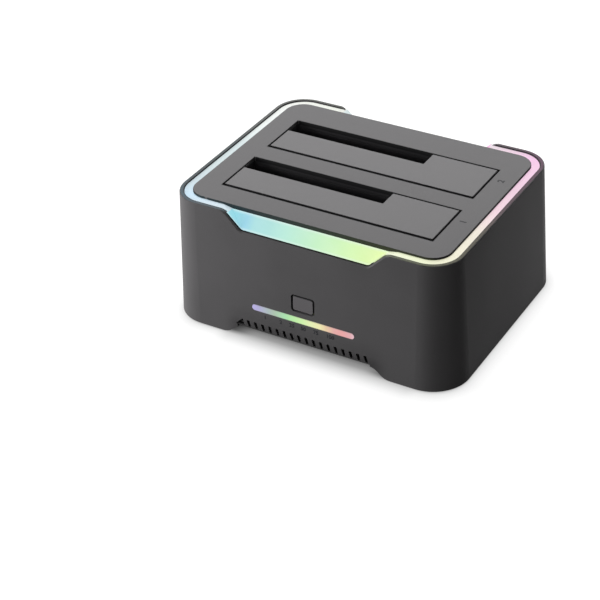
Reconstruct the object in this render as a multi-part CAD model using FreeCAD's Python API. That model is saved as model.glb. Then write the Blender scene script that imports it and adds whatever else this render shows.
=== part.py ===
import FreeCAD, Part
import math
import os

# Two-bay drive duplicator dock. Millimetres, +Z up, front face towards -Y.
# Origin: centre of the footprint, on the plane of the rubber feet.

V = FreeCAD.Vector

# ---- casing ---------------------------------------------------------------
CASE_Z = 0.8            # lower edge of the casing, above the feet
RIM_Z = 62.3            # top of the casing rim
RIM_HX = 68.85          # half width and half depth of the rim
RIM_HY = 53.65
RIM_R = 14.5            # plan corner radius of the rim
DRAFT = 0.0469          # outward growth per mm downwards
WALL = 1.95
RIM_ROUND = 0.6
ARCH_Z = 5.4            # raised lower edge, front and rear
ARCH_X = 34.4           # half width at the raised edge
ARCH_FOOT_X = 39.6      # half width at the lower edge
NOTCH_Z = 54.35         # bottom of the rim notch, front and rear
NOTCH_X = 31.35         # half width at the bottom
NOTCH_TOP_X = 39.4      # half width at the rim
NOTCH_R = (6.0, 3.0)    # corner radii at the rim and at the bottom
NOTCH_BEVEL = 0.6

# ---- top panel and bays ---------------------------------------------------
TOP_Z = 62.6
PANEL_HX = 63.1
PANEL_HY = 47.65
PANEL_R = 9.0
PANEL_T = 2.0
LIP_T = 1.4             # panel over the flap hinges
BAY_HX = 52.2
BAY_D = 27.7
BAY_FRONTS = (-35.1, 3.45)
SLOT_X = 19.1           # right end of the narrow slot left open by the flap
SLOT_D = 10.1

# ---- light ring -----------------------------------------------------------
RING_TOP = 61.7
RING_HX = 66.75
RING_HY = 51.55
RING_IN_X = 63.2
RING_IN_Y = 47.75
RING_Z = 56.0           # underside, on the casing ledge
APRON_Z = 60.75         # top edge of the sloping apron
APRON_END_Y = 52.9      # outer edge of the apron, a little inside the casing face
APRON_END_Z = 55.05
APRON_ROOT_Z = 55.0     # underside behind the notch
APRON_GAP = 0.45        # between the apron and the notch

# ---- flap hinge -----------------------------------------------------------
HINGE_Z = TOP_Z - 2.8
HINGE_BACK = 2.8        # hinge axis in front of the bay edge
PIN_R = 0.8
PIN_PLAY = 0.05
KNUCKLE_R = 1.2
FLAP_T = 2.0
FLAP_GAP = (0.8, 1.3, 0.5)    # sides, front, rear

# ---- bay wells ------------------------------------------------------------
WELL_T = 1.4
WELL_FLOOR = 16.0
WELL_RECESS = 4.4       # room for the open flap in front of the drive

# ---- boards ---------------------------------------------------------------
BASE_Z = ARCH_Z
BASE_T = 2.0
PCB_Z = 10.4
PCB_T = 1.6
PCB_TOP = PCB_Z + PCB_T
FRONT_PCB_Y = -46.0     # rear face of the upright front board
CONN_X = -28.4          # centre of the drive connectors
CONN_BACK = 3.9         # connector centre in front of the bay rear edge
BOSS_X = 57.1
BOSS_Y = 37.0
BOSS_R = 3.2
STAND_X = 46.0
STAND_YS = (-41.5, 46.5)
FOOT_X = 58.5
FOOT_Y = 46.0

# ---- front controls -------------------------------------------------------
BUTTON_X = -0.5
BUTTON_Z = 26.2
BUTTON_W = 11.7
BUTTON_H = 8.6
BUTTON_GAP = 0.7
BAR_X = -0.75
BAR_Z = 17.95
BAR_W = 51.2
BAR_H = 3.0
VENTS = 17
VENT_X0 = -28.9
VENT_PITCH = 3.69
VENT_Z = (7.05, 10.0)

# ---- rear sockets ---------------------------------------------------------
IO_Y = 54.8             # flat face of the socket field
IO_T = 2.2
IO_X = 38.0
IO_Z = (11.5, 30.0)
USB_X = 0.0
JACK_X = -26.0
JACK_Z = 17.5
SWITCH_X = 26.0
SWITCH_Z = 21.0
ROCKER_TILT = 8.0

os.makedirs("parts", exist_ok=True)


def box(x0, x1, y0, y1, z0, z1):
    return Part.makeBox(x1 - x0, y1 - y0, z1 - z0, V(x0, y0, z0))


def cyl(r, h, x, y, z, axis="z"):
    d = {"x": V(1, 0, 0), "y": V(0, 1, 0), "z": V(0, 0, 1)}[axis]
    return Part.makeCylinder(r, h, V(x, y, z), d)


def fuse(shapes):
    return shapes[0].multiFuse(list(shapes[1:])).removeSplitter()


def cut(shape, tools):
    return shape.cut(list(tools)).removeSplitter()


def offset_at(z):
    return (RIM_Z - z) * DRAFT


def tapered(inset, z0, z1):
    """Casing outline drawn in by inset, between two heights, with the draft."""
    hx, hy, r = RIM_HX - inset, RIM_HY - inset, RIM_R - inset
    cx, cy = hx - r, hy - r
    d0, d1 = offset_at(z0), offset_at(z1)
    parts = [Part.makeCone(r + d0, r + d1, z1 - z0, V(sx * cx, sy * cy, z0))
             for sx in (1, -1) for sy in (1, -1)]
    for ax, b0, b1 in ((cx, hy + d0, hy + d1), (hx + d0, cy, cy)):
        a0 = ax
        a1 = cx if ax == cx else hx + d1
        low = Part.makePolygon([V(a0, b0, z0), V(-a0, b0, z0), V(-a0, -b0, z0),
                                V(a0, -b0, z0), V(a0, b0, z0)])
        high = Part.makePolygon([V(a1, b1, z1), V(-a1, b1, z1), V(-a1, -b1, z1),
                                 V(a1, -b1, z1), V(a1, b1, z1)])
        parts.append(Part.makeLoft([low, high], True, True))
    return fuse(parts)


def rrect(hx, hy, r, z0, z1, x=0.0, y=0.0):
    s = box(x - hx, x + hx, y - hy, y + hy, z0, z1)
    es = [e for e in s.Edges
          if abs(e.Vertexes[0].X - e.Vertexes[1].X) < 1e-6
          and abs(e.Vertexes[0].Y - e.Vertexes[1].Y) < 1e-6]
    return s.makeFillet(r, es)


def outline(points):
    """Closed line of a polygon with a radius at each corner."""
    n = len(points)
    pts = [V(p[0], p[1], 0) for p in points]
    edges = []
    ends = []
    for i in range(n):
        r = points[i][2] if len(points[i]) > 2 else 0.0
        p, q, s = pts[i - 1], pts[i], pts[(i + 1) % n]
        if r <= 0:
            ends.append((q, q, None))
            continue
        u = (p - q).normalize()
        w = (s - q).normalize()
        half = u.getAngle(w) / 2
        t = r / math.tan(half)
        mid = (u + w).normalize()
        c = q + mid * (r / math.sin(half))
        ends.append((q + u * t, q + w * t, c - mid * r))
    for i in range(n):
        start, end, m = ends[i]
        if m is not None:
            edges.append(Part.Arc(start, m, end).toShape())
        nxt = ends[(i + 1) % n][0]
        if end.distanceToPoint(nxt) > 1e-6:
            edges.append(Part.LineSegment(end, nxt).toShape())
    return Part.Wire(edges)


def rounded(points, plane, a, b):
    """Prism of a rounded polygon, drawn in xy, xz or yz."""
    f = Part.Face(outline(points))
    if plane == "xy":
        f.translate(V(0, 0, a))
        return f.extrude(V(0, 0, b - a))
    if plane == "xz":
        f.rotate(V(0, 0, 0), V(1, 0, 0), 90)
        f.translate(V(0, a, 0))
        return f.extrude(V(0, b - a, 0))
    f.rotate(V(0, 0, 0), V(0, 0, 1), 90)
    f.rotate(V(0, 0, 0), V(0, 1, 0), 90)
    f.translate(V(a, 0, 0))
    return f.extrude(V(b - a, 0, 0))


def sym(points):
    """Polygon closed by its own mirror image about x = 0."""
    return points + [(-p[0],) + tuple(p[1:]) for p in reversed(points)]


def both_ends(shape):
    return [shape, shape.mirror(V(0, 0, 0), V(0, 1, 0))]


def pan_screw(x, y, z, r, head_r, head_h, length):
    """Screw standing on its head face at z, shank downwards."""
    s = fuse([cyl(head_r, head_h, x, y, z), cyl(r, length, x, y, z - length)])
    es = [e for e in s.Edges
          if abs(e.BoundBox.ZMax - z - head_h) < 1e-6 and e.BoundBox.ZLength < 1e-6]
    s = s.makeChamfer(head_h * 0.35, es)
    slots = [box(x - w / 2, x + w / 2, y - d / 2, y + d / 2, z + head_h * 0.4, z + head_h + 1)
             for w, d in ((head_r * 1.1, head_r * 0.22), (head_r * 0.22, head_r * 1.1))]
    return cut(s, slots)


def save(name, shape):
    solids = shape if isinstance(shape, list) else shape.Solids
    out = solids[0] if len(solids) == 1 else Part.makeCompound(solids)
    out.exportStep("parts/" + name + ".step")
    bad = [s for s in out.Solids if not s.isValid() or s.Volume <= 0]
    print(name, len(out.Solids), round(out.Volume, 1), "BAD" if bad else "ok")


def hinge_y(front):
    return front - HINGE_BACK


# ---- casing ---------------------------------------------------------------
def notch_points(inset, top=0.0):
    """Rim notch drawn smaller by inset; top lifts its level ends."""
    k = (RIM_Z - NOTCH_Z) / (NOTCH_TOP_X - NOTCH_X)
    run = inset * math.hypot(1, k) / k
    return sym([(45, RIM_Z + 3), (45, RIM_Z + top),
                (NOTCH_TOP_X + top / k - run, RIM_Z + top, NOTCH_R[0] + top),
                (NOTCH_X + inset / k - run, NOTCH_Z + inset, NOTCH_R[1] - inset)])


def notch_bevel():
    """Tool for the bevel round the notch, leaning with the front wall."""
    lines = []
    for inset, y in ((0.0, 0.5), (-2 * NOTCH_BEVEL, -0.5)):
        w = outline(notch_points(inset))
        w.rotate(V(0, 0, 0), V(1, 0, 0), 90)
        w.translate(V(0, -RIM_HY + y, 0))
        lines.append(w)
    tool = Part.makeLoft(lines, True, True)
    tool.rotate(V(0, -RIM_HY, RIM_Z), V(1, 0, 0), -math.degrees(math.atan(DRAFT)))
    return tool


def make_housing():
    outer = tapered(0.0, CASE_Z, RIM_Z)
    rim = [e for e in outer.Edges
           if abs(e.BoundBox.ZMin - RIM_Z) < 1e-6 and e.BoundBox.ZLength < 1e-6]
    outer = outer.makeFillet(RIM_ROUND, rim)
    shell = outer.cut(tapered(WALL, CASE_Z - 2, RIM_Z + 2))

    ledge = tapered(WALL - 0.2, RING_Z - 2.0, RING_Z).cut(
        rrect(64.2, 49.1, 10.1, RING_Z - 3, RING_Z + 1))
    adds = [ledge]
    for y in (-30, -10, 10, 30):
        adds += [box(60.9, 67.6, y - 2, y + 2, 51, 53), box(-67.6, -60.9, y - 2, y + 2, 51, 53)]
    for x in (-40, -14, 14, 40):
        adds += [box(x - 2, x + 2, 45.6, 52.5, 51, 53), box(x - 2, x + 2, -52.5, -45.6, 51, 53)]
    adds.append(box(-IO_X - 1, IO_X + 1, IO_Y - IO_T, IO_Y + 0.6, IO_Z[0] - 1, IO_Z[1] + 1))
    for x in (-30, 30):
        adds.append(cyl(2.6, 6.0, x, -53.6, 29.0, "y"))

    notch = rounded(notch_points(0.0), "xz", -60, -RING_HY - 0.1)
    arch = rounded(sym([(50, -2), (50, CASE_Z), (ARCH_FOOT_X, CASE_Z, 7.0),
                        (ARCH_X, ARCH_Z, 7.0)]), "xz", -60, 60)
    root = box(-30.3, 30.3, -RING_HY - 0.4, -49.0, APRON_ROOT_Z, 58)
    tools = both_ends(notch) + both_ends(notch_bevel()) + both_ends(root) + [arch]

    # slanted cooling slots over a bevel along the arch
    z0, z1 = VENT_Z
    for i in range(VENTS):
        x = VENT_X0 + i * VENT_PITCH
        tools.append(rounded([(x - 0.85, z1, 0.5), (x + 0.7, z1, 0.5), (x + 1.6, z0 - 0.45),
                              (x + 0.35, z0 - 0.45)], "xz", -60, -50))
    tools.append(rounded([(-35.3, 6.6), (-31.8, 10.1), (-30.5, 6.6)], "xz", -60, -50))
    y = RIM_HY + offset_at(z0)
    tools.append(rounded([(-60, z0), (-y, z0), (-y + 1.3, z0 - 2.4), (-60, z0 - 2.4)],
                         "yz", -34.5, 32.5))

    w, h = BUTTON_W / 2, BUTTON_H / 2
    tools.append(rounded([(BUTTON_X - w, BUTTON_Z - h, 1.5), (BUTTON_X - w, BUTTON_Z + h, 1.5),
                          (BUTTON_X + w, BUTTON_Z + h, 1.5), (BUTTON_X + w, BUTTON_Z - h, 1.5)],
                         "xz", -60, -50))
    tools.append(stadium(BAR_W, BAR_H, -60, -50))

    # flat socket field at the rear and its openings
    tools.append(rounded([(-IO_X, IO_Z[0], 2), (-IO_X, IO_Z[1], 2), (IO_X, IO_Z[1], 2),
                          (IO_X, IO_Z[0], 2)], "xz", IO_Y, 60))
    tools.append(box(USB_X - 6.35, USB_X + 6.35, 50, 60, PCB_TOP - 0.25, 23.25))
    tools.append(cyl(4.3, 10, JACK_X, 50, JACK_Z, "y"))
    tools.append(box(SWITCH_X - 4.35, SWITCH_X + 4.35, 50, 60, SWITCH_Z - 6.85, SWITCH_Z + 6.85))
    for x in (-30, 30):
        tools.append(cyl(0.85, 5.2, x, -52.8, 29.0, "y"))
    return cut(fuse([shell] + adds), tools)


def stadium(w, h, y0, y1):
    r = h / 2 - 0.001
    return rounded([(BAR_X - w / 2, BAR_Z - h / 2, r), (BAR_X - w / 2, BAR_Z + h / 2, r),
                    (BAR_X + w / 2, BAR_Z + h / 2, r), (BAR_X + w / 2, BAR_Z - h / 2, r)],
                   "xz", y0, y1)


def half_space(p1, p2, p3, size, h):
    """Block standing on the plane through three points."""
    n = (p2 - p1).cross(p3 - p1).normalize()
    if n.z < 0:
        n = n * -1
    b = Part.makeBox(size, size, h, V(-size / 2, -size / 2, 0))
    b.Placement = FreeCAD.Placement((p1 + p2 + p3) * (1 / 3.0),
                                    FreeCAD.Rotation(V(0, 0, 1), n)).multiply(b.Placement)
    return b


def make_light_ring():
    body = rrect(RING_HX, RING_HY, RING_HX - 54.1, RING_Z, RING_TOP).cut(
        rrect(RING_IN_X, RING_IN_Y, 9.1, RING_Z - 1, RING_TOP + 1))
    flange = rrect(RING_IN_X + 0.5, RING_IN_Y + 0.5, 9.6, RING_Z, 58.5).cut(
        rrect(60.5, 45.2, 6.5, RING_Z - 1, 59))
    tongue = rounded(notch_points(APRON_GAP, APRON_GAP), "xz",
                     -APRON_END_Y, -RING_HY + 0.5).common(box(-45, 45, -60, 0, 50, RING_TOP))
    tongue = tongue.cut(box(-45, 45, -RING_HY - 0.15, 0, 50, RING_Z))
    root = box(-30, 30, -RING_HY - 0.35, -49.2, APRON_ROOT_Z, RING_Z + 0.3)
    ring = fuse([body, flange] + both_ends(tongue) + both_ends(root))

    fall = (APRON_Z - APRON_END_Z) / (APRON_END_Y - RING_IN_Y)
    slope = rounded([(-RING_IN_Y, APRON_Z), (-RING_IN_Y, 70), (-60, 70),
                     (-60, APRON_Z - (60 - RING_IN_Y) * fall)], "yz", -60, 60)
    # the scoop's side faces leave a thin lip along the notch and open towards the panel
    k = (RIM_Z - NOTCH_Z) / (NOTCH_TOP_X - NOTCH_X)
    low = NOTCH_X + (APRON_END_Z - NOTCH_Z) / k - 1.1
    high = NOTCH_X + (RING_TOP - NOTCH_Z) / k - 1.1
    keep = box(-60, 60, -60, -RING_IN_Y, 50, 70)
    sides, ramps = keep, []
    for s in (1, -1):
        sides = sides.common(half_space(V(s * low, -APRON_END_Y, APRON_END_Z),
                                        V(s * high, -APRON_END_Y, RING_TOP),
                                        V(s * 38.4, -RING_IN_Y, APRON_Z), 260, 90))
        ramps.append(half_space(V(s * 42.8, -RING_IN_Y, RING_TOP), V(s * 38, -RING_IN_Y, APRON_Z),
                                V(s * 39.0, -RING_HY, RING_TOP), 30, 6).common(keep))
    scoop = slope.common(fuse([sides] + ramps))
    return cut(ring, both_ends(scoop))


def make_top_panel():
    plate = rrect(PANEL_HX, PANEL_HY, PANEL_R, TOP_Z - PANEL_T, TOP_Z)
    rim = [e for e in plate.Edges if e.BoundBox.ZMin > TOP_Z - 1e-4]
    plate = plate.makeChamfer(0.25, rim)
    skirt = rrect(62.9, 47.6, 8.8, 58.5, TOP_Z - PANEL_T).cut(
        rrect(60.9, 45.6, 6.8, 58, TOP_Z))
    bosses = [cyl(BOSS_R, TOP_Z - PANEL_T - BASE_Z - BASE_T, sx * BOSS_X, sy * BOSS_Y,
                  BASE_Z + BASE_T) for sx in (1, -1) for sy in (1, -1)]
    tools = [cyl(1.25, 18, sx * BOSS_X, sy * BOSS_Y, BASE_Z + BASE_T)
             for sx in (1, -1) for sy in (1, -1)]
    for y in BAY_FRONTS:
        tools.append(box(-BAY_HX, BAY_HX, y, y + BAY_D, 50, 70))
        tools.append(box(-BAY_HX, BAY_HX, y - WELL_RECESS, y + 1, 50, TOP_Z - LIP_T))
    return cut(fuse([plate, skirt] + bosses), tools)


def make_well(front):
    y0 = front - WELL_RECESS
    y1 = front + BAY_D
    top = TOP_Z - PANEL_T
    floor = WELL_FLOOR + WELL_T
    shell = box(-BAY_HX - WELL_T, BAY_HX + WELL_T, y0 - WELL_T, y1 + WELL_T, WELL_FLOOR, top)
    shell = shell.cut(box(-BAY_HX, BAY_HX, y0, y1, floor, top + 1))
    # upright ribs that stop the open flap, feet that stand on the main board
    adds = [box(x - 1.5, x + 1.5, y0 - 0.2, front - 2.2, floor - 0.2, 55) for x in (-30, 30)]
    adds += [cyl(2.5, WELL_FLOOR - PCB_TOP + 0.2, x, y, PCB_TOP)
             for x, y in ((-48, y0 + 5), (48, y0 + 5), (48, y1 - 4), (-2, y1 - 4))]
    # long shallow ridges on the rear wall of the narrow slot
    adds += [box(-50, SLOT_X - 1.5, y1 - 0.35, y1 + 0.2, z, z + 0.8) for z in (55.0, 58.0)]
    c = y1 - CONN_BACK
    tools = [box(CONN_X - 21.9, CONN_X + 21.9, c - 3.7, c + 3.4, WELL_FLOOR - 1, floor + 1)]
    h = hinge_y(front)
    tools += [cyl(PIN_R, 2 * BAY_HX + 8, -BAY_HX - 4, h, HINGE_Z, "x"),
              box(-BAY_HX - 4, BAY_HX + 4, h - PIN_R, h + PIN_R, HINGE_Z, top + 1)]
    return cut(fuse([shell] + adds), tools)


def make_flap(front):
    side, gap_f, gap_r = FLAP_GAP
    rear = front + BAY_D
    plate = rounded([(-BAY_HX + side, front + gap_f, 0.5), (BAY_HX - side, front + gap_f, 0.5),
                     (BAY_HX - side, rear - gap_r, 0.5), (SLOT_X, rear - gap_r, 0.5),
                     (SLOT_X, rear - SLOT_D), (-BAY_HX + side, rear - SLOT_D, 0.5)],
                    "xy", TOP_Z - FLAP_T, TOP_Z)
    top = [e for e in plate.Edges if e.BoundBox.ZMin > TOP_Z - 1e-4]
    plate = plate.makeChamfer(0.2, top)
    h = hinge_y(front)
    adds = []
    for x in (-42.0, 0.0, 42.0):
        adds.append(cyl(KNUCKLE_R, 8, x - 4, h, HINGE_Z, "x"))
        adds.append(box(x - 4, x + 4, h, front + gap_f + 1.5, HINGE_Z - 0.1, HINGE_Z + 1.1))
    # stiffening ribs under the plate
    for x in (-24, -8, 8, 24):
        adds.append(box(x - 0.5, x + 0.5, front + 3, front + 16, TOP_Z - FLAP_T - 0.6, TOP_Z - 1))
    bore = cyl(PIN_R + PIN_PLAY, 2 * BAY_HX, -BAY_HX, h, HINGE_Z, "x")
    return cut(fuse([plate] + adds), [bore])


def make_pin(front):
    e = BAY_HX + WELL_T - 0.1
    return cyl(PIN_R, 2 * e, -e, hinge_y(front), HINGE_Z, "x")


def make_spring(front):
    """Close-wound torsion spring on the hinge pin, one leg to the well, one to the flap."""
    h = hinge_y(front)
    x0, pitch, turns = 46.45, 0.3, 5
    line = [V(x0, h, HINGE_Z + 0.93), V(x0, h, HINGE_Z + 1.1)]
    for i in range(turns):
        line += [V(x0 + (i + 0.5) * pitch, h, HINGE_Z + 1.24), V(x0 + (i + 1) * pitch, h, HINGE_Z + 1.1)]
    line += [V(x0 + turns * pitch, h, HINGE_Z + 0.93), line[0]]
    coil = Part.Face(Part.makePolygon(line)).revolve(V(0, h, HINGE_Z), V(1, 0, 0), 360)
    x1 = x0 + turns * pitch
    legs = [box(x0 + 0.02, x0 + 0.28, h + 0.98, h + 5.6, HINGE_Z - 0.16, HINGE_Z + 0.16),
            box(x1 - 0.28, x1 - 0.02, h - 1.22, h - 0.96, HINGE_Z - 6.0, HINGE_Z)]
    return fuse([coil] + legs)


def make_sata(front):
    c = front + BAY_D - CONN_BACK
    x = CONN_X
    body = fuse([box(x - 21.4, x + 21.4, c - 3.2, c + 2.9, PCB_TOP, PCB_TOP + 3.2),
                 box(x - 20.4, x + 20.4, c - 2.6, c + 2.5, PCB_TOP, 21.2),
                 box(x - 20.4, x - 18.2, c - 2.6, c + 2.5, 20, 24.0),
                 box(x + 18.2, x + 20.4, c - 2.6, c + 2.5, 20, 24.0)])
    slots = [box(x - 17.2, x - 6.2, c - 0.9, c + 0.9, 15.5, 30),
             box(x - 17.2, x - 16.0, c - 0.9, c + 1.7, 15.5, 30),
             box(x - 5.0, x + 16.9, c - 0.9, c + 0.9, 15.5, 30),
             box(x + 15.7, x + 16.9, c - 0.9, c + 1.7, 15.5, 30)]
    return cut(body, slots)


def make_contacts(front):
    """Spring contacts of the signal and power rows."""
    c = front + BAY_D - CONN_BACK
    xs = [CONN_X - 14.6 + i * 1.27 for i in range(7)]
    xs += [CONN_X - 3.6 + i * 1.27 for i in range(15)]
    return [box(x - 0.25, x + 0.25, c - 0.9, c - 0.6, 15.5, 20.6) for x in xs]


def make_main_board():
    board = box(-52.2, 52.2, -45.2, IO_Y - IO_T - 0.2, PCB_Z, PCB_TOP)
    tools = [cyl(1.25, 9, sx * STAND_X, y, PCB_Z - 3) for sx in (1, -1) for y in STAND_YS]
    return cut(board, tools)


def make_base_plate():
    inset = WALL + 0.2
    plate = tapered(inset, BASE_Z, BASE_Z + BASE_T)
    foot = tapered(inset, CASE_Z, BASE_Z)
    corners = fuse([box(sx * 64 - 21, sx * 64 + 21, sy * 48 - 20, sy * 48 + 20, -1, BASE_Z)
                    for sx in (1, -1) for sy in (1, -1)])
    adds = [foot.common(corners)]
    adds += [cyl(3.0, PCB_Z - BASE_Z - 1, sx * STAND_X, y, BASE_Z + 1)
             for sx in (1, -1) for y in STAND_YS]
    tools = [cyl(0.95, 6, sx * STAND_X, y, BASE_Z + 0.8) for sx in (1, -1) for y in STAND_YS]
    for sx in (1, -1):
        for sy in (1, -1):
            tools.append(cyl(1.5, 10, sx * BOSS_X, sy * BOSS_Y, 0))
            tools.append(cyl(3.2, 5.0, sx * BOSS_X, sy * BOSS_Y, -0.1))
            tools.append(cyl(4.9, 2.0, sx * FOOT_X, sy * FOOT_Y, CASE_Z - 1.2))
    tools += [rrect(14, 1.0, 0.9, 4, 9, x, y) for x in (-20, 20) for y in range(-24, 30, 6)]
    return cut(fuse([plate] + adds), tools)


def make_rockers():
    """Switch body with its bezel, and the rocker at its off position."""
    x, z = SWITCH_X, SWITCH_Z
    body = fuse([box(x - 4.2, x + 4.2, 43.5, IO_Y + 0.3, z - 6.7, z + 6.7),
                 box(x - 5.4, x + 5.4, IO_Y, IO_Y + 1.0, z - 7.9, z + 7.9)])
    axis_y = 52.4
    tools = [box(x - 3.4, x + 3.4, 48.5, 60, z - 6.0, z + 6.0),
             cyl(1.0, 7.9, x - 3.95, axis_y, z, "x")]
    body = cut(body, tools)
    tabs = [box(x - 0.4, x + 0.4, 38.5, 43.5, z + dz - 2.4, z + dz + 2.4) for dz in (-3.4, 3.4)]
    d = math.tan(math.radians(ROCKER_TILT)) * 5.5
    # crowned cap: two faces that meet in a shallow valley over the axis
    cap = rounded([(axis_y - 2.6, z - 2.0, 0.5), (axis_y + 0.4, z - 5.5), (54.3 + d * 0.9, z - 5.5, 0.4),
                   (54.3, z, 2.0), (54.3 + d * 0.9, z + 5.5, 0.4), (axis_y + 0.4, z + 5.5),
                   (axis_y - 2.6, z + 2.0, 0.5)], "yz", x - 3.15, x + 3.15)
    cap = fuse([cap, cyl(0.95, 7.6, x - 3.8, axis_y, z, "x")])
    cap.rotate(V(x, axis_y, z), V(1, 0, 0), ROCKER_TILT)
    return body, tabs, cap


def make_usb():
    x = USB_X
    shell = box(x - 6.1, x + 6.1, 38, IO_Y + 0.1, PCB_TOP, 23.0)
    hole = fuse([box(x - 4.25, x + 4.25, 45, 60, 13.2, 19.6), box(x - 2.9, x + 2.9, 45, 60, 19, 22.1)])
    tongue = box(x - 2.8, x + 2.8, 45, 53.2, 15.2, 18.2)
    upper = box(x - 2.0, x + 2.0, 45, 53.2, 20.2, 21.2)
    return shell.cut(hole), [tongue, upper]


def make_jack():
    x, z = JACK_X, JACK_Z
    body = fuse([box(x - 4.5, x + 4.5, 40.5, IO_Y - IO_T - 0.1, PCB_TOP, z + 5.0),
                 cyl(4.0, 3.0, x, 51.9, z, "y")])
    return cut(body, [cyl(3.1, 12, x, 44.5, z, "y")]), cyl(1.0, 10.0, x, 44.5, z, "y")


save("housing", make_housing())
save("light_ring", make_light_ring())
save("top_panel", make_top_panel())
for i, front in enumerate(BAY_FRONTS):
    n = "_" + str(i + 1)
    save("bay_well" + n, make_well(front))
    save("flap" + n, make_flap(front))
    save("flap_pin" + n, make_pin(front))
    save("flap_spring" + n, make_spring(front))
    save("sata_connector" + n, make_sata(front))
    save("sata_contacts" + n, make_contacts(front))

save("main_board", make_main_board())
save("base_plate", make_base_plate())
save("base_screws", [pan_screw(0, 0, 0, 1.2, 2.7, 1.9, 19.5).mirror(V(0, 0, 0), V(0, 0, 1))
                     .translated(V(sx * BOSS_X, sy * BOSS_Y, 4.9))
                     for sx in (1, -1) for sy in (1, -1)])
save("board_screws", [pan_screw(sx * STAND_X, y, PCB_TOP, 0.93, 2.3, 1.5, 5.4)
                      for sx in (1, -1) for y in STAND_YS])
feet = []
for sx in (1, -1):
    for sy in (1, -1):
        pad = cyl(4.8, 1.6, sx * FOOT_X, sy * FOOT_Y, 0)
        low = [e for e in pad.Edges if e.BoundBox.ZMax < 1e-4]
        feet.append(pad.makeChamfer(0.5, low))
save("rubber_feet", feet)

# integrated circuits, capacitors and the crystal of the main board
chips = [box(x - w, x + w, y - d, y + d, PCB_TOP, PCB_TOP + h)
         for x, y, w, d, h in ((20, -24, 5, 5, 1.2), (20, 14, 5, 5, 1.2), (32, 38, 2.5, 2, 1.5),
                               (34, -26, 3, 2.5, 1.4), (36, 12, 3.5, 3.5, 1.0), (12, -36, 2, 1, 0.9),
                               (-16, 40, 3, 3, 2.8), (14, 44, 2, 1.5, 1.1))]
save("board_chips", chips)
save("capacitors", [cyl(3.15, 7.7, x, y, PCB_TOP) for x, y in ((-46, 37), (-38, 37), (-12, 47.5),
                                                              (13, 36.5), (40, 46.5))])

usb, tongues = make_usb()
save("usb_port", usb)
save("usb_contacts", tongues)
jack, jack_pin = make_jack()
save("dc_jack", jack)
save("dc_jack_pin", jack_pin)
switch, tabs, rocker = make_rockers()
save("switch_body", switch)
save("switch_tabs", tabs)
save("switch_rocker", rocker)

# push button, its switch and the light bar, all in front of the upright board
w, h = BUTTON_W / 2 - BUTTON_GAP, BUTTON_H / 2 - BUTTON_GAP
cap = rounded([(BUTTON_X - w, BUTTON_Z - h, 1.1), (BUTTON_X - w, BUTTON_Z + h, 1.1),
               (BUTTON_X + w, BUTTON_Z + h, 1.1), (BUTTON_X + w, BUTTON_Z - h, 1.1)],
              "xz", -60, -52.2).common(tapered(0.1, BUTTON_Z - 9, BUTTON_Z + 9))
front_edges = [e for e in cap.Edges if e.BoundBox.YMax < -54.5]
cap = cap.makeChamfer(0.25, front_edges)
collar = box(BUTTON_X - w - 1.3, BUTTON_X + w + 1.3, -52.8, -51.8,
             BUTTON_Z - h - 1.3, BUTTON_Z + h + 1.3)
save("clone_button", fuse([cap, collar, cyl(2.2, 1.6, BUTTON_X, -52.3, BUTTON_Z, "y")]))
save("tact_plunger", cyl(1.5, 2.2, BUTTON_X, -50.7, BUTTON_Z, "y"))
save("tact_switch", cut(box(BUTTON_X - 3, BUTTON_X + 3, FRONT_PCB_Y - PCB_T - 1.6,
                            FRONT_PCB_Y - PCB_T, BUTTON_Z - 3, BUTTON_Z + 3),
                        [cyl(1.55, 1.4, BUTTON_X, -49.3, BUTTON_Z, "y")]))
save("front_board", cut(box(-34, 34, FRONT_PCB_Y - PCB_T, FRONT_PCB_Y, 13.0, 33.0),
                        [cyl(1.1, 5, x, FRONT_PCB_Y - 3, 29, "y") for x in (-30, 30)]))
screw = pan_screw(0, 0, 0, 0.8, 1.9, 1.3, 5.5)
screw.rotate(V(0, 0, 0), V(1, 0, 0), -90)
save("led_board_screws", [screw.translated(V(x, FRONT_PCB_Y, 29)) for x in (-30, 30)])
face = FRONT_PCB_Y - PCB_T
save("status_leds", [box(x - 1.75, x + 1.75, face - 1.4, face, BAR_Z - 1.4, BAR_Z + 1.4)
                     for x in [BAR_X - 21.7 + i * 6.2 for i in range(8)]])
save("light_bar", fuse([stadium(BAR_W - 0.1, BAR_H - 0.1, -RIM_HY - offset_at(BAR_Z) - 0.1, -49.6),
                        stadium(BAR_W + 3, BAR_H + 2, -53.2, -52.2)]))

# ring lighting: strips on the casing ribs with upward-facing lamps
save("rgb_strips_side", [box(s - 1.55, s + 1.55, -34, 34, 53, 54) for s in (62.5, -62.5)])
save("rgb_strips_end", [box(-46, 46, s - 1.55, s + 1.55, 53, 54) for s in (47.2, -47.2)])
leds = [box(s - 1.4, s + 1.4, y - 1.75, y + 1.75, 54, 55.6)
        for s in (62.5, -62.5) for y in range(-28, 29, 8)]
leds += [box(x - 1.75, x + 1.75, s - 1.4, s + 1.4, 54, 55.6)
         for s in (47.2, -47.2) for x in range(-40, 41, 10)]
save("rgb_leds", leds)
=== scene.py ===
import bpy, bmesh, math
from mathutils import Matrix, Vector


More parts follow.
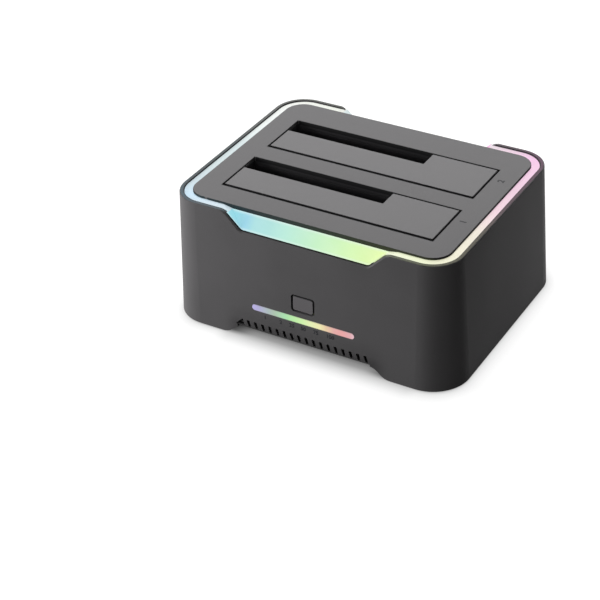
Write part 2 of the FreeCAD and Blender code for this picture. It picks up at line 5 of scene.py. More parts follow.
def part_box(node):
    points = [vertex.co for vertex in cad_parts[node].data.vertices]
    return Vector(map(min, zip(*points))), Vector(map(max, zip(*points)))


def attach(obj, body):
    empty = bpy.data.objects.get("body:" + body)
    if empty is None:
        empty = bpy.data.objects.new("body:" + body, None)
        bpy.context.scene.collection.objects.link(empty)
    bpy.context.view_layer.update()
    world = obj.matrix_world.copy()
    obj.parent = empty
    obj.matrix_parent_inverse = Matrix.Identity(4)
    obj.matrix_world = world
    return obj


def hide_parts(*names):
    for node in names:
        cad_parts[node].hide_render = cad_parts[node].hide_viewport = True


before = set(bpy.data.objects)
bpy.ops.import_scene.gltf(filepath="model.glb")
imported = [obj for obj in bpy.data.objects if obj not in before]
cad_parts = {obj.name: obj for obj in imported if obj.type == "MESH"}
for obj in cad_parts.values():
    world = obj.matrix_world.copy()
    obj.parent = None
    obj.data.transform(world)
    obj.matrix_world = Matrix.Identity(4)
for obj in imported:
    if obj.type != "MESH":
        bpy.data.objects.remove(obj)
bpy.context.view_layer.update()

# ---- sizes of the part used here, in mm ------------------------------------
MM = 0.001
# the casing's walls: how far they lean out per mm down, and the upper edge's height, half width,
# half depth and corner radius
DRAFT = 0.0469
RIM_Z, RIM_HX, RIM_HY, RIM_R = 62.3, 68.85, 53.65, 14.5
# bay openings: half width, half depth, and the y of their middles
BAY_HX, BAY_HY, BAY_Y = 52.2, 13.85, (-21.25, 17.3)
APRON_HX = 40.0  # half width of the ring's slope in the notches
BAR_HX, BAR_Z = 26.0, 17.95  # progress bar: half width, height of its middle
CAN_TOP_Z = (19.55, 19.6)  # a capacitor's sleeve ends and its bare top starts
PRINT_DEPTH, PRINT_OFF = 0.06, 0.02  # PRINT_OFF is from the surface to the print's middle
SCALE_Z, SCALE_SIZE = 14.2, 2.6  # numbers under the progress bar
BAY_NUMBER_X, BAY_NUMBER_SIZE = 56.8, 4.2
COIL_X, COIL_R, COIL_PITCH, COIL_TURNS = 46.6, 1.08, 0.34, 4.25
COIL_WIRE_R, COIL_STEPS = 0.15, 20  # COIL_STEPS to one turn
ARM_LENGTH, ARM_BEND, ARM_DROP = 5.5, 2.5, 0.1  # a spring's arms: the upper one drops past its bend


# ---- colours ---------------------------------------------------------------
def srgb(r, g, b):
    """Screen colour, 0 to 255, as a linear colour."""
    out = []
    for c in (r, g, b):
        c /= 255.0
        out.append(c / 12.92 if c <= 0.04045 else ((c + 0.055) / 1.055) ** 2.4)
    return (*out, 1.0)


def grey(v):
    return (v, v, v, 1.0)


def scaled(c, k):
    return (min(c[0] * k, 1), min(c[1] * k, 1), min(c[2] * k, 1), 1.0)


WHITE = grey(1.0)

# the lit ring round the lid: x and y of a place (mm), and the screen colour there
RING = [(-65, 0.01, 228, 233, 232), (-65, -20, 212, 227, 229), (-65, -38, 205, 223, 231),
        (-61, -48, 206, 236, 255), (-50, -50, 214, 231, 243), (-40, -50, 212, 232, 242),
        (0, -50, 225, 245, 225), (40, -50, 246, 252, 219), (54, -50, 245, 251, 211),
        (61, -48, 241, 241, 208), (65, -38, 247, 242, 217), (65, -20, 244, 236, 219),
        (65, -10, 248, 226, 226), (65, 0, 247, 213, 225), (65, 20, 243, 206, 226),
        (65, 38, 248, 205, 232), (61, 48, 253, 201, 239), (50, 50, 241, 211, 229),
        (40, 50, 237, 220, 230), (0, 50, 226, 226, 248), (-40, 50, 246, 249, 240),
        (-61, 48, 246, 248, 242), (-65, 38, 244, 247, 244), (-65, 20, 240, 247, 245)]
# the ring's slopes in the front and rear notch, and the progress bar: x (mm), and the screen
# colour there
APRON = [(-36, 166, 237, 250), (-30, 161, 219, 238), (-26, 172, 226, 228), (-18, 180, 229, 224),
         (-10, 189, 238, 221), (-2, 196, 240, 211), (6, 204, 246, 202), (14, 213, 250, 197),
         (22, 220, 254, 186), (36, 233, 254, 178)]
APRON_REAR = [(-36, 232, 245, 246), (-18, 206, 228, 250), (0, 204, 200, 250),
              (18, 226, 190, 240), (36, 245, 188, 226)]
BAR = [(-25.5, 186, 178, 228), (-23, 175, 171, 213), (-19, 172, 185, 193), (-15, 174, 197, 175),
       (-10, 170, 226, 176), (-5, 188, 240, 168), (-1, 209, 246, 173), (3, 233, 245, 184),
       (8, 246, 239, 181), (11, 237, 207, 165), (15, 234, 175, 170), (19, 242, 168, 168),
       (23, 235, 176, 182), (25.3, 232, 200, 210)]
# painted shade on the strip over the front arch, by height: 0 is at ARCH_Z[0] mm, 1 is at ARCH_Z[1]
# mm
ARCH_Z = (5.0, 17.0)
ARCH_SHADE = ((0, 0.60), (0.15, 0.62), (0.29, 0.72), (0.45, 0.88), (0.6, 0.90), (1, 1.0))


# ---- materials -------------------------------------------------------------
class Mat:
    """A node material with short calls for the nodes used here."""

    def __init__(self, name):
        self.m = bpy.data.materials.new(name)
        self.m.use_nodes = True
        self.t = self.m.node_tree
        self.b = self.t.nodes["Principled BSDF"]
        self.co = self.add("ShaderNodeTexCoord").outputs["Object"]

    def add(self, kind, **props):
        n = self.t.nodes.new(kind)
        for k, v in props.items():
            setattr(n, k, v)
        return n

    def link(self, a, b):
        self.t.links.new(a, b)

    def put(self, sock, v):
        if isinstance(v, bpy.types.NodeSocket):
            self.link(v, sock)
        else:
            sock.default_value = v

    def noise(self, scale, detail=2.0, rough=0.5, co=None):
        n = self.add("ShaderNodeTexNoise")
        self.put(n.inputs["Vector"], co or self.co)
        n.inputs["Scale"].default_value = scale
        n.inputs["Detail"].default_value = detail
        n.inputs["Roughness"].default_value = rough
        return n.outputs["Fac"]

    def cells(self, scale, **props):
        n = self.add("ShaderNodeTexVoronoi", feature="F1", **props)
        self.link(self.co, n.inputs["Vector"])
        n.inputs["Scale"].default_value = scale
        return n.outputs

    def math(self, op, a, b=0.0, c=None):
        n = self.add("ShaderNodeMath", operation=op)
        self.put(n.inputs[0], a)
        self.put(n.inputs[1], b)
        if c is not None:
            self.put(n.inputs[2], c)
        return n.outputs[0]

    def times(self, first, *others):
        for v in others:
            first = self.math("MULTIPLY", first, v)
        return first

    def abs(self, v):
        return self.math("ABSOLUTE", v)

    def span(self, v, a, b, lo=0.0, hi=1.0, smooth=True):
        """lo where v is at a or before it, hi where v is at b or past it."""
        n = self.add("ShaderNodeMapRange", interpolation_type="SMOOTHSTEP" if smooth else "LINEAR")
        self.put(n.inputs["Value"], v)
        for k, x in zip(("From Min", "From Max", "To Min", "To Max"), (a, b, lo, hi)):
            n.inputs[k].default_value = x
        return n.outputs["Result"]

    def fade(self, v, a, b, lo=0.0, hi=1.0, smooth=True):
        """A span along a length, with a and b in mm."""
        return self.span(v, a * MM, b * MM, lo, hi, smooth)

    def band(self, v, a, b, c, d, low=0.0):
        """1 from b to c and low beyond a and d, all in mm."""
        return self.times(self.fade(v, a, b, low, 1.0), self.fade(v, c, d, 1.0, low))

    def mix(self, fac, a, b, blend="MIX"):
        n = self.add("ShaderNodeMix", data_type="RGBA", blend_type=blend)
        self.put(n.inputs[0], fac)
        self.put(n.inputs[6], a)
        self.put(n.inputs[7], b)
        return n.outputs[2]

    def xyz(self, v=None):
        n = self.add("ShaderNodeSeparateXYZ")
        self.link(v or self.co, n.inputs[0])
        return tuple(n.outputs)

    def facing(self, axis):
        """How far the face is turned to an axis: 0 is x, 1 is y and 2 is z."""
        geo = self.add("ShaderNodeNewGeometry")
        return self.xyz(geo.outputs["True Normal"])[axis]

    def ramp(self, fac, stops):
        n = self.add("ShaderNodeValToRGB")
        self.put(n.inputs[0], fac)
        e = n.color_ramp.elements
        stops = sorted(stops)
        e[0].position, e[0].color = stops[0]
        e[1].position, e[1].color = stops[-1]
        for p, c in stops[1:-1]:
            e.new(p).color = c
        return n.outputs[0]

    def bump(self, height, strength, dist):
        """Fine relief, dist deep in mm."""
        n = self.add("ShaderNodeBump")
        self.put(n.inputs["Height"], height)
        n.inputs["Strength"].default_value = strength
        n.inputs["Distance"].default_value = dist * MM
        self.link(n.outputs["Normal"], self.b.inputs["Normal"])

    def set(self, **kw):
        for k, v in kw.items():
            self.put(self.b.inputs[k.replace("_", " ")], v)
        return self.m


def along_x(k, x, stops, half):
    """Colour by x, from stops in mm that lie within half to each side."""
    f = k.fade(x, -half, half, smooth=False)
    return k.ramp(f, [((p + half) / (2 * half), srgb(r, g, b)) for p, r, g, b in stops])


def ring_colours(k):
    """Colours of the lit ring at this place: of its level top, and of its slopes."""
    x, y, _ = k.xyz()
    # the top's colours go by the angle round the lid, and the ramp's two ends share one colour
    turn = k.math("ADD", k.times(k.math("ARCTAN2", y, x), 0.5 / math.pi), 0.5)
    stops = [(math.atan2(py, px) * 0.5 / math.pi + 0.5, srgb(r, g, b)) for px, py, r, g, b in RING]
    first = min(stops)[1]
    stops = [s for s in stops if s[0] < 0.999] + [(1.0, first), (0.0, first)]
    front = along_x(k, x, APRON, APRON_HX)
    rear = along_x(k, x, APRON_REAR, APRON_HX)
    return k.ramp(turn, stops), k.mix(k.math("GREATER_THAN", y, 0.0), front, rear)


def casing_depth(k):
    """Distance inwards from the casing's drafted, round-cornered skin."""
    x, y, z = k.xyz()
    qx = k.math("MAXIMUM", k.math("SUBTRACT", k.abs(x), (RIM_HX - RIM_R) * MM), 0.0)
    qy = k.math("MAXIMUM", k.math("SUBTRACT", k.abs(y), (RIM_HY - RIM_R) * MM), 0.0)
    far = k.math("SQRT", k.math("ADD", k.times(qx, qx), k.times(qy, qy)))
    skin = k.math("MULTIPLY_ADD", z, -DRAFT, (RIM_R + RIM_Z * DRAFT) * MM)
    return k.math("SUBTRACT", skin, far)


def bay_away(k):
    """Distances outside the nearest bay opening: along y, and along x."""
    x, y, _ = k.xyz()
    dy = None
    for mid in BAY_Y:
        d = k.math("SUBTRACT", k.abs(k.math("SUBTRACT", y, mid * MM)), BAY_HY * MM)
        dy = k.math("MINIMUM", dy, d) if dy else d
    return dy, k.math("SUBTRACT", k.abs(x), BAY_HX * MM)


def lid_seam(k):
    """1 on the lines of painted shade on the lid in front of the bay openings and behind them."""
    dy, dx = bay_away(k)
    return k.times(k.fade(dy, 0.2, 0.45, 1.0, 0.0), k.fade(dx, 0.0, 0.3, 1.0, 0.0))


def flap_seam(k):
    """1 on the painted shade along the rear and right edges of a flap."""
    dy, dx = bay_away(k)
    right = k.times(k.fade(dx, -1.2, -1.0), k.math("GREATER_THAN", k.xyz()[0], 0.0))
    return k.math("MAXIMUM", k.fade(dy, -1.0, -0.75), right)


def lid_walls(k):
    """Upright faces of the lid in painted shade, with painted light: the ring's light on the outer
    ones, and the bays' left ends paler.
    """
    x, y, _ = k.xyz()
    ring_light = 0.022
    # painted light: a faint spill of the ring's colour is added on the outer faces
    outer = k.fade(k.abs(y), 46.0, 47.0, 0.0, ring_light)
    c = k.mix(outer, srgb(14, 14, 15), ring_colours(k)[1], "ADD")
    # painted light: the bays' left end walls are paler, as the lit side
    return k.mix(k.band(x, -53.0, -52.5, -51.9, -51.4), c, srgb(80, 79, 80))


def casing_tones(k, c, shine):
    """The casing's colour c with painted light: painted shade over the front arch and inside the
    skin, and a painted highlight on the rim.
    """
    x, y, z = k.xyz()
    # painted shade: the bevelled strip over the front arch is darkened towards the arch, for the
    # shade there
    low = k.ramp(k.fade(z, *ARCH_Z, smooth=False), [(f, grey(v)) for f, v in ARCH_SHADE])
    arch_shade_mask = k.times(k.fade(k.abs(x), 33.0, 42.0, 1.0, 0.0), k.fade(y, -52.0, -53.0))
    c = k.mix(arch_shade_mask, c, low, "MULTIPLY")
    # painted shade: faces under the casing's skin are made dark, and so is the inner line of the
    # rim, for the shade in recesses and gaps
    depth = casing_depth(k)
    not_rear = k.span(k.facing(1), 0.5, 0.9, 1.0, 0.0)
    recess_shade = k.times(k.fade(depth, 0.9, 1.4), k.fade(z, 61.0, 61.6, 1.0, 0.0))
    c = k.mix(k.times(recess_shade, not_rear), c, srgb(26, 26, 27))
    c = k.mix(k.fade(depth, 1.5, 1.9, 0.0, 0.6), c, srgb(30, 30, 31))
    # painted highlight: the upper edge is lightened with the colour of the ring beside it, as if it
    # shone in the ring's light
    edge = k.times(k.fade(z, 61.4, 62.0), k.fade(depth, 0.2, 0.7),
                   k.fade(depth, 1.5, 1.9, 1.0, 0.0))
    glint = k.mix(1.0, ring_colours(k)[0], grey(shine), "MULTIPLY")
    return k.mix(edge, c, glint)


def plastic(name, col, rough=0.5, spec=0.5, grain=1500.0, bump=0.12, worn=0.0, walls=None,
            face=2, rim=0.0, gap_shade=None):
    """Moulded plastic: faint cloudy tone, spark-eroded grain, uneven sheen.

    worn is the strength of rubbed patches, walls colours the faces turned away from the axis
    face with painted shade, so the gaps beside them read dark, gap_shade gives the painted shade
    beside a gap, and rim the strength of the painted highlight on the casing's upper edge, which
    also brings the casing's painted shades.
    """
    k = Mat(name)
    cloud = k.noise(26.0, 3.0, 0.55)
    fine = k.noise(grain, 2.0, 0.6)
    c = k.mix(k.span(cloud, 0.3, 0.7), scaled(col, 0.95), scaled(col, 1.05))
    c = k.mix(k.span(fine, 0.55, 0.8, 0.0, 0.25), c, scaled(col, 1.35))
    if worn:
        rub = k.noise(75.0, 5.0, 0.7)
        c = k.mix(k.span(rub, 0.62, 0.8, 0.0, worn), c, scaled(col, 1.6))
    if walls:
        walls = walls(k) if callable(walls) else walls
        c = k.mix(k.span(k.abs(k.facing(face)), 0.75, 0.95), walls, c)
        if gap_shade:
            c = k.mix(gap_shade(k), c, walls)
    if rim:
        c = casing_tones(k, c, rim)
    r = k.math("ADD", k.span(cloud, 0.3, 0.7, rough - 0.04, rough + 0.04),
               k.span(fine, 0.3, 0.7, -0.03, 0.03))
    k.bump(fine, bump, 0.04)
    return k.set(Base_Color=c, Roughness=r, Specular_IOR_Level=spec)


def metal(name, col, rough=0.3, streak=(1, 1, 14), bump=0.1):
    """Drawn or plated metal with fine directional marks and dull patches."""
    k = Mat(name)
    mp = k.add("ShaderNodeMapping")
    k.link(k.co, mp.inputs[0])
    mp.inputs["Scale"].default_value = streak
    lines = k.noise(260.0, 4.0, 0.6, mp.outputs[0])
    dull = k.noise(90.0, 3.0, 0.6)
    c = k.mix(k.span(dull, 0.35, 0.75), col, scaled(col, 0.72))
    r = k.math("ADD", k.span(lines, 0.25, 0.75, rough - 0.06, rough + 0.1),
               k.span(dull, 0.4, 0.8, 0.0, 0.12))
    k.bump(lines, bump, 0.03)
    return k.set(Base_Color=c, Roughness=r, Metallic=1.0)


def board(name, col, copper):
    """Printed board: solder mask over faint straight traces and round pads."""
    k = Mat(name)
    x, y, _ = k.xyz()
    masks = []
    # traces side by side along an axis, so many to a metre, shown in cells of this scale
    for axis, pitch, scale in ((x, 520.0, 95.0), (y, 460.0, 70.0)):
        run = k.math("FRACT", k.times(axis, pitch))
        line = k.span(k.abs(k.math("SUBTRACT", run, 0.5)), 0.30, 0.38, 1.0, 0.0)
        cell = k.cells(scale, distance="CHEBYCHEV")["Color"]
        masks.append(k.times(line, k.span(k.xyz(cell)[0], 0.45, 0.5)))
    trace = k.math("MAXIMUM", *masks)
    pad = k.span(k.cells(240.0)["Distance"], 0.10, 0.16, 1.0, 0.0)
    c = k.mix(k.span(k.noise(60.0, 3.0), 0.3, 0.7), scaled(col, 0.85), scaled(col, 1.15))
    c = k.mix(k.times(trace, 0.55), c, scaled(col, 2.1))
    c = k.mix(pad, c, copper)
    k.bump(k.math("ADD", trace, pad), 0.3, 0.04)
    return k.set(Base_Color=c, Roughness=k.span(pad, 0, 1, 0.32, 0.45),
                 Metallic=k.times(pad, 0.9), Specular_IOR_Level=0.5)


def glow(k, colour, body, light):
    """Lit milky plastic: part of the colour is its own light, part is the surface."""
    haze = k.noise(140.0, 3.0, 0.6)
    tone = k.mix(k.span(haze, 0.3, 0.7, 0.0, 0.05), colour, WHITE)
    k.bump(k.noise(1300.0, 2.0), 0.06, 0.03)
    return k.set(Base_Color=k.mix(1.0, tone, grey(body), "MULTIPLY"), Emission_Color=tone,
                 Emission_Strength=light, Roughness=k.span(haze, 0.3, 0.7, 0.34, 0.44),
                 Specular_IOR_Level=0.12)


def ring_material():
    k = Mat("lit_ring")
    x, y, _ = k.xyz()
    top, slope = ring_colours(k)
    # painted highlight: the slope's two long edges are paler
    ay = k.abs(y)
    edges = k.math("ADD", k.fade(ay, 47.9, 48.7, 0.4, 0.0), k.fade(ay, 52.2, 52.7, 0.0, 0.3))
    slope = k.mix(edges, slope, srgb(238, 250, 246))
    up = k.facing(2)
    apron = k.times(k.span(up, 0.75, 0.95, 1.0, 0.0),
                    k.fade(k.abs(x), APRON_HX, APRON_HX + 0.5, 1.0, 0.0))
    # painted light: the slopes, which the lamps light less, glow more than the level top; the faces
    # turned down into the gaps give no light, a painted shade in the gaps
    light = k.times(k.span(up, 0.75, 0.95, 0.72, 0.66), k.span(up, -0.3, -0.05))
    return glow(k, k.mix(apron, top, slope), 0.24, light)


def bar_material():
    """Progress bar, greyer along its two long edges."""
    k = Mat("lit_bar")
    x, _, z = k.xyz()
    c = along_x(k, x, BAR, BAR_HX)
    edge = k.fade(k.abs(k.math("SUBTRACT", z, BAR_Z * MM)), 0.9, 1.5, 0.0, 0.3)
    return glow(k, k.mix(edge, c, srgb(150, 140, 140)), 0.25, 0.69)


def lamp_material():
    """White package with a yellow window on top."""
    k = Mat("lamp_package")
    up = k.span(k.facing(2), 0.6, 0.9)
    speck = k.noise(900.0, 2.0)
    window = k.mix(k.span(speck, 0.4, 0.6), srgb(238, 226, 120), srgb(250, 240, 170))
    return k.set(Base_Color=k.mix(up, srgb(225, 225, 215), window),
                 Roughness=k.span(speck, 0.3, 0.7, 0.25, 0.4))


def rubber_material():
    k = Mat("foot_rubber")
    col = srgb(38, 38, 40)
    dust = k.noise(120.0, 4.0, 0.7)
    c = k.mix(k.span(dust, 0.55, 0.8, 0.0, 0.5), col, scaled(col, 2.4))
    k.bump(k.noise(1800.0, 3.0, 0.7), 0.3, 0.05)
    return k.set(Base_Color=c, Roughness=k.span(dust, 0.3, 0.7, 0.75, 0.9),
                 Specular_IOR_Level=0.3)


def chip_material():
    k = Mat("chip_package")
    n = k.noise(1600.0, 2.0)
    patch = k.noise(110.0, 1.0)
    c = k.mix(k.span(patch, 0.4, 0.6), srgb(34, 34, 36), srgb(48, 48, 50))
    k.bump(n, 0.2, 0.03)
    return k.set(Base_Color=c, Roughness=k.span(n, 0.3, 0.7, 0.5, 0.62))


def can_material():
    """Capacitor: dark sleeve round a bare aluminium top."""
    k = Mat("capacitor_can")
    top = k.fade(k.xyz()[2], *CAN_TOP_Z)
    patch = k.span(k.noise(60.0, 0.0), 0.5, 0.52)
    sleeve = k.mix(patch, srgb(22, 24, 40), srgb(38, 40, 62))
    c = k.mix(top, sleeve, srgb(190, 190, 192))
    k.bump(k.noise(700.0, 2.0), 0.1, 0.03)
    return k.set(Base_Color=c, Metallic=top, Roughness=k.span(k.noise(500.0), 0.3, 0.7, 0.3, 0.42))


CASE = plastic("case_plastic", srgb(75, 74, 75), spec=0.03, rim=0.14)
LID = plastic("lid_plastic", srgb(101, 100, 101), rough=0.6, spec=0.12, walls=lid_walls,
              gap_shade=lid_seam)
# the flaps' upright sides are painted dark, a painted shade so that the gaps round them read dark
FLAP = plastic("flap_plastic", srgb(112, 111, 112), rough=0.6, spec=0.12,
               walls=srgb(16, 16, 17), gap_shade=flap_seam)
BLACK = plastic("inner_plastic", srgb(23, 22, 24), rough=0.6, spec=0.3)
BASE = plastic("base_plastic", srgb(44, 43, 45), rough=0.6, spec=0.35, worn=0.3)
NYLON = plastic("connector_nylon", srgb(30, 30, 32), rough=0.42, spec=0.45, grain=2600.0)
GLOSSY = plastic("rocker_gloss", srgb(28, 28, 30), rough=0.2, bump=0.02)
# the button's upright sides are painted dark, a painted shade so that the gap round it reads dark
KEY = plastic("button_plastic", srgb(82, 80, 82), rough=0.45, spec=0.15,
              walls=srgb(20, 20, 21), face=1)
BLUE = plastic("usb_insulator", srgb(30, 74, 168), rough=0.35)
STEEL = metal("zinc_steel", srgb(176, 177, 180), 0.28)
WIRE = metal("spring_steel", srgb(150, 150, 154), 0.25, (14, 1, 1))
DARKSTEEL = metal("black_screw", srgb(62, 62, 66), 0.35)
TIN = metal("tin_shell", srgb(196, 198, 202), 0.32, (1, 10, 1), bump=0.04)
GOLD = metal("gold_contact", srgb(220, 182, 96), 0.2)
GREEN = board("solder_mask_green", srgb(22, 82, 50), srgb(196, 170, 110))
WHITEPCB = board("solder_mask_white", srgb(214, 214, 208), srgb(190, 176, 130))
RUBBER = rubber_material()
LAMP = lamp_material()
CHIP = chip_material()
CAN = can_material()
RINGLIT = ring_material()
BARLIT = bar_material()
PRINT = plastic("dark_print", srgb(24, 24, 28), rough=0.6, spec=0.2, bump=0.02)

LOOK = {"housing": CASE, "light_ring": RINGLIT, "top_panel": LID, "main_board": GREEN,
        "base_plate": BASE, "base_screws": DARKSTEEL, "board_screws": STEEL,
        "rubber_feet": RUBBER, "board_chips": CHIP, "capacitors": CAN, "usb_port": TIN,
        "usb_contacts": BLUE, "dc_jack": NYLON, "dc_jack_pin": TIN, "switch_body": NYLON,
        "switch_tabs": TIN, "switch_rocker": GLOSSY, "clone_button": KEY, "tact_plunger": NYLON,
        "tact_switch": TIN, "front_board": GREEN, "led_board_screws": STEEL,
        "status_leds": LAMP, "light_bar": BARLIT, "rgb_strips_side": WHITEPCB,
        "rgb_strips_end": WHITEPCB, "rgb_leds": LAMP}
for i in ("1", "2"):
    LOOK.update({"bay_well_" + i: BLACK, "flap_" + i: FLAP, "flap_pin_" + i: STEEL,
                 "flap_spring_" + i: WIRE, "sata_connector_" + i: NYLON,
                 "sata_contacts_" + i: GOLD})
for node, mat in LOOK.items():
    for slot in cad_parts[node].material_slots:
        slot.material = mat


# ---- pieces ----------------------------------------------------------------
def add_mesh(name, bm, mat, body):
    me = bpy.data.meshes.new(name)
    bm.to_mesh(me)
    bm.free()
    ob = bpy.data.objects.new(name, me)
    bpy.context.scene.collection.objects.link(ob)
    me.materials.append(mat)
    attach(ob, body)
    return ob


def tube(points, radius, sides=8):
    """Round wire along a line of points."""
    bm = bmesh.new()
    rings = []
    side = Vector((0.3, 0.2, 0.93))  # any direction that the wire doesn't start along
    for i, p in enumerate(points):
        d = (points[min(i + 1, len(points) - 1)] - points[max(i - 1, 0)]).normalized()
        side = (side - d * side.dot(d)).normalized()
        up = d.cross(side)
        ring = []
        for j in range(sides):
            a = 2 * math.pi * j / sides
            ring.append(bm.verts.new(p + (side * math.cos(a) + up * math.sin(a)) * radius))
        if rings:
            last = rings[-1]
            for j in range(sides):
                n = (j + 1) % sides
                bm.faces.new((last[j], last[n], ring[n], ring[j]))
        rings.append(ring)
    bm.faces.new(list(reversed(rings[0])))
    bm.faces.new(rings[-1])
    for f in bm.faces:
        f.smooth = len(f.verts) == 4
    bmesh.ops.recalc_face_normals(bm, faces=bm.faces)
    return bm


def words(name, text, size, place):
    """Flat printed characters on the dock, size in mm, laid by the matrix place."""
    size *= MM
    cu = bpy.data.curves.new(name, "FONT")
    cu.body = text
    cu.size = size
    cu.align_x = "CENTER"
    cu.align_y = "CENTER"
    cu.extrude = PRINT_DEPTH * MM / 2
    cu.offset = size * 0.035  # bolder strokes
    cu.resolution_u = 3
    tmp = bpy.data.objects.new(name + "_t", cu)
    bpy.context.scene.collection.objects.link(tmp)
    bpy.context.view_layer.update()
    me = bpy.data.meshes.new_from_object(tmp.evaluated_get(bpy.context.evaluated_depsgraph_get()))
    bpy.data.objects.remove(tmp)
    bpy.data.curves.remove(cu)
    bm = bmesh.new()
    bm.from_mesh(me)
    bpy.data.meshes.remove(me)
    bmesh.ops.remove_doubles(bm, verts=bm.verts, dist=1e-6)
    bm.transform(place)
    return add_mesh(name, bm, PRINT, "dock")


def front_place(x, z):
    """On the drafted front wall, facing out, x and z in mm."""
    y = -(RIM_HY + (RIM_Z - z) * DRAFT) - PRINT_OFF
    lean = math.atan(DRAFT)
    return (Matrix.Translation((x * MM, y * MM, z * MM)) @ Matrix.Rotation(-lean, 4, "X")
            @ Matrix.Rotation(math.pi / 2, 4, "X"))


# plain numbers: two bay lamps and the progress scale, and one number beside each bay
for text, x in (("1", -19.8), ("2", -11.8), ("25", -6.2), ("50", -0.4), ("75", 5.9),
                ("100", 13.0)):
    words("scale_" + text, text, SCALE_SIZE, front_place(x, SCALE_Z))
lid_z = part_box("top_panel")[1][2]
for i, y in ((1, -15.6), (2, 22.4)):
    place = (Matrix.Translation((BAY_NUMBER_X * MM, y * MM, lid_z + PRINT_OFF * MM))
             @ Matrix.Rotation(math.pi / 2, 4, "Z"))
    words("bay_number_%d" % i, str(i), BAY_NUMBER_SIZE, place)

# wound torsion springs on the hinge pins: an arm under the flap, the coil, and an arm down
for i in (1, 2):
    lo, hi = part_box("flap_pin_%d" % i)
    cy, cz = (lo[1] + hi[1]) / 2, (lo[2] + hi[2]) / 2
    x0, pitch, r = COIL_X * MM, COIL_PITCH * MM, COIL_R * MM
    pts = [Vector((x0, cy + ARM_LENGTH * MM, cz - ARM_DROP * MM - r)),
           Vector((x0, cy + ARM_BEND * MM, cz - r))]
    for s in range(int(COIL_TURNS * COIL_STEPS) + 1):
        a = -math.pi / 2 - 2 * math.pi * s / COIL_STEPS
        pts.append(Vector((x0 + pitch * s / COIL_STEPS, cy + r * math.cos(a),
                           cz + r * math.sin(a))))
    pts.append(pts[-1] + Vector((0, 0, -ARM_LENGTH * MM)))
    ob = add_mesh("coil_%d" % i, tube(pts, COIL_WIRE_R * MM), WIRE, "dock")
    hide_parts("flap_spring_%d" % i)


# ---- camera ----------------------------------------------------------------
# it looks at AIM from DIST metres away, then moves by the two TRACK lengths in its own plane
AZ, EL, ROLL = math.radians(29.43), math.radians(32.43), math.radians(-1.42)
DIST = 0.735
AIM = Vector((0, -0.034646, 0.0626))
TRACK_RIGHT, TRACK_UP = 0.01741, -0.01458
LENS_MM, SENSOR_MM = 102.876, 36
back = Vector((math.sin(AZ) * math.cos(EL), -math.cos(AZ) * math.cos(EL), math.sin(EL)))
right = Vector((math.cos(AZ), math.sin(AZ), 0))
up = back.cross(right)
cr, sr = math.cos(ROLL), math.sin(ROLL)
right, up = right * cr + up * sr, up * cr - right * sr
pos = AIM + right * TRACK_RIGHT + up * TRACK_UP + back * DIST
cam = bpy.data.cameras.new("camera")
cam.lens = LENS_MM
cam.sensor_width = SENSOR_MM
cam.shift_x = -0.10875
cam.shift_y = -0.09087
cam.clip_start = 0.05
cam_ob = bpy.data.objects.new("camera", cam)
bpy.context.scene.collection.objects.link(cam_ob)
cam_ob.matrix_world = Matrix(((right.x, up.x, back.x, pos.x), (right.y, up.y, back.y, pos.y),
                              (right.z, up.z, back.z, pos.z), (0, 0, 0, 1)))
bpy.context.scene.camera = cam_ob

# ---- floor, world and lamps ------------------------------------------------
# painted shadow on the floor: its brightness by distance outside the casing, from FLOOR_FROM to
# FLOOR_TO (mm): under the casing, beside it and in front of it
FLOOR_FROM, FLOOR_TO = -10, 12
FLOOR_UNDER = [(-10, 0.05), (-8, 0.12), (-6.6, 0.17), (-5.6, 0.22), (-4.6, 0.25), (-3.6, 0.28),
               (-2.6, 0.36), (-1.6, 0.44), (-0.6, 0.505)]
FLOOR_SIDE = [(0, 0.68), (1.2, 0.80), (2.2, 0.84), (4.2, 0.91), (6.2, 0.95), (10, 1.0),
              (12, 1.0)]
FLOOR_FRONT = [(0.4, 0.585), (1.4, 0.65), (2.4, 0.705), (3.4, 0.76), (5.4, 0.86), (7.4, 0.92),
               (9.4, 0.98), (12, 1.0)]
FLOOR_TONE = 0.12  # how much of the lamps' light the floor gives back
FLOOR_SIZE = 2.0  # half width of the floor, in m
WORLD_LIGHT = 0.05


def shows(tree):
    """1 on rays that reach the camera straight, in a reflection or through a clear piece."""
    path = tree.nodes.new("ShaderNodeLightPath").outputs
    out = path["Is Camera Ray"]
    for kind in ("Is Glossy Ray", "Is Transmission Ray"):
        n = tree.nodes.new("ShaderNodeMath")
        n.operation = "MAXIMUM"
        tree.links.new(out, n.inputs[0])
        tree.links.new(path[kind], n.inputs[1])
        out = n.outputs[0]
    return out


def floor_material():
    """White floor with a painted shadow: darker near the casing, where the casing hides the room
    from it.
    """
    k = Mat("floor_white")
    x, y, _ = k.xyz()
    ax, ay = k.abs(x), k.abs(y)
    # casing_depth counts inwards, so the signs turn round
    out = k.fade(casing_depth(k), -FLOOR_FROM, -FLOOR_TO, smooth=False)
    side, front = [k.ramp(out, [((d - FLOOR_FROM) / (FLOOR_TO - FLOOR_FROM), grey(v))
                                for d, v in FLOOR_UNDER + row])
                   for row in (FLOOR_SIDE, FLOOR_FRONT)]
    ahead = k.times(k.band(x, -46.0, -38.0, 50.0, 57.0, 0.15), k.fade(ay, 53.0, 56.5))
    # painted shadow: the arch's floor is darker beside the feet
    beside = k.times(k.fade(ax, 27.0, 42.0, 0.0, 0.8), k.fade(ax, 52.0, 56.0, 1.0, 0.0))
    foot_shadow = k.times(beside, k.fade(ay, 53.0, 56.0, 1.0, 0.0, smooth=False))
    shade = k.math("SUBTRACT", 1.0, foot_shadow)
    lift = k.times(k.xyz(k.mix(ahead, side, front))[0], shade)
    return k.set(Base_Color=k.times(shade, FLOOR_TONE), Roughness=0.9, Specular_IOR_Level=0.0,
                 Emission_Color=WHITE, Emission_Strength=k.times(shows(k.t), lift))


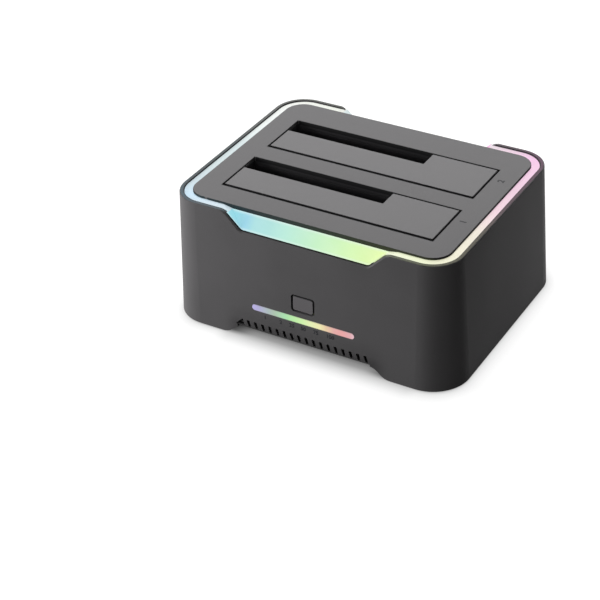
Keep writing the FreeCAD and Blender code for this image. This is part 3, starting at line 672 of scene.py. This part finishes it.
def lamp(name, place, size, watts, target=(0, 0, 0.03), spread=180):
    """Flat lamp at place turned to target, size wide and high, all in m; the camera misses it."""
    li = bpy.data.lights.new(name, "AREA")
    li.shape = "RECTANGLE"
    li.size, li.size_y = size
    li.energy = watts
    li.spread = math.radians(spread)
    ob = bpy.data.objects.new(name, li)
    bpy.context.scene.collection.objects.link(ob)
    ob.location = place
    ob.rotation_euler = (Vector(target) - Vector(place)).to_track_quat("-Z", "Y").to_euler()
    ob.visible_camera = False


bm = bmesh.new()
bmesh.ops.create_grid(bm, x_segments=8, y_segments=8, size=FLOOR_SIZE)
me = bpy.data.meshes.new("floor")
bm.to_mesh(me)
bm.free()
floor = bpy.data.objects.new("floor", me)
bpy.context.scene.collection.objects.link(floor)
me.materials.append(floor_material())

# the world lights the part faintly, and is seen as plain white
world = bpy.data.worlds.new("studio")
bpy.context.scene.world = world
world.use_nodes = True
wt = world.node_tree
faint = wt.nodes["Background"]
seen = wt.nodes.new("ShaderNodeBackground")
for background, strength in ((faint, WORLD_LIGHT), (seen, 1.0)):
    background.inputs["Color"].default_value = WHITE
    background.inputs["Strength"].default_value = strength
wmix = wt.nodes.new("ShaderNodeMixShader")
wt.links.new(shows(wt), wmix.inputs[0])
wt.links.new(faint.outputs[0], wmix.inputs[1])
wt.links.new(seen.outputs[0], wmix.inputs[2])
wt.links.new(wmix.outputs[0], wt.nodes["World Output"].inputs[0])

# the two main lamps stand over the rear and in front of the dock; the others fill in the front
# left corner, the left end, the rear with the right end, and the foot of the rear right corner
lamp("top_rear", (-0.14, 0.36, 0.44), (0.45, 0.32), 2.75)
lamp("front", (-0.18, -1.04, 0.45), (0.3, 0.5), 4.65)
lamp("near_front", (-0.335, -0.205, 0.105), (0.26, 0.16), 2.15, (-0.05, -0.05, 0.03))
lamp("left", (-1.0, 0.15, 0.5), (0.4, 0.4), 2.6)
lamp("rear_right", (0.22, 1.0, 0.35), (0.3, 0.3), 2.9)
lamp("near_right", (0.20, 0.20, 0.08), (0.08, 0.08), 0.012, (0.07, 0.06, 0.035), 35)

bpy.context.scene.view_settings.view_transform = "Standard"
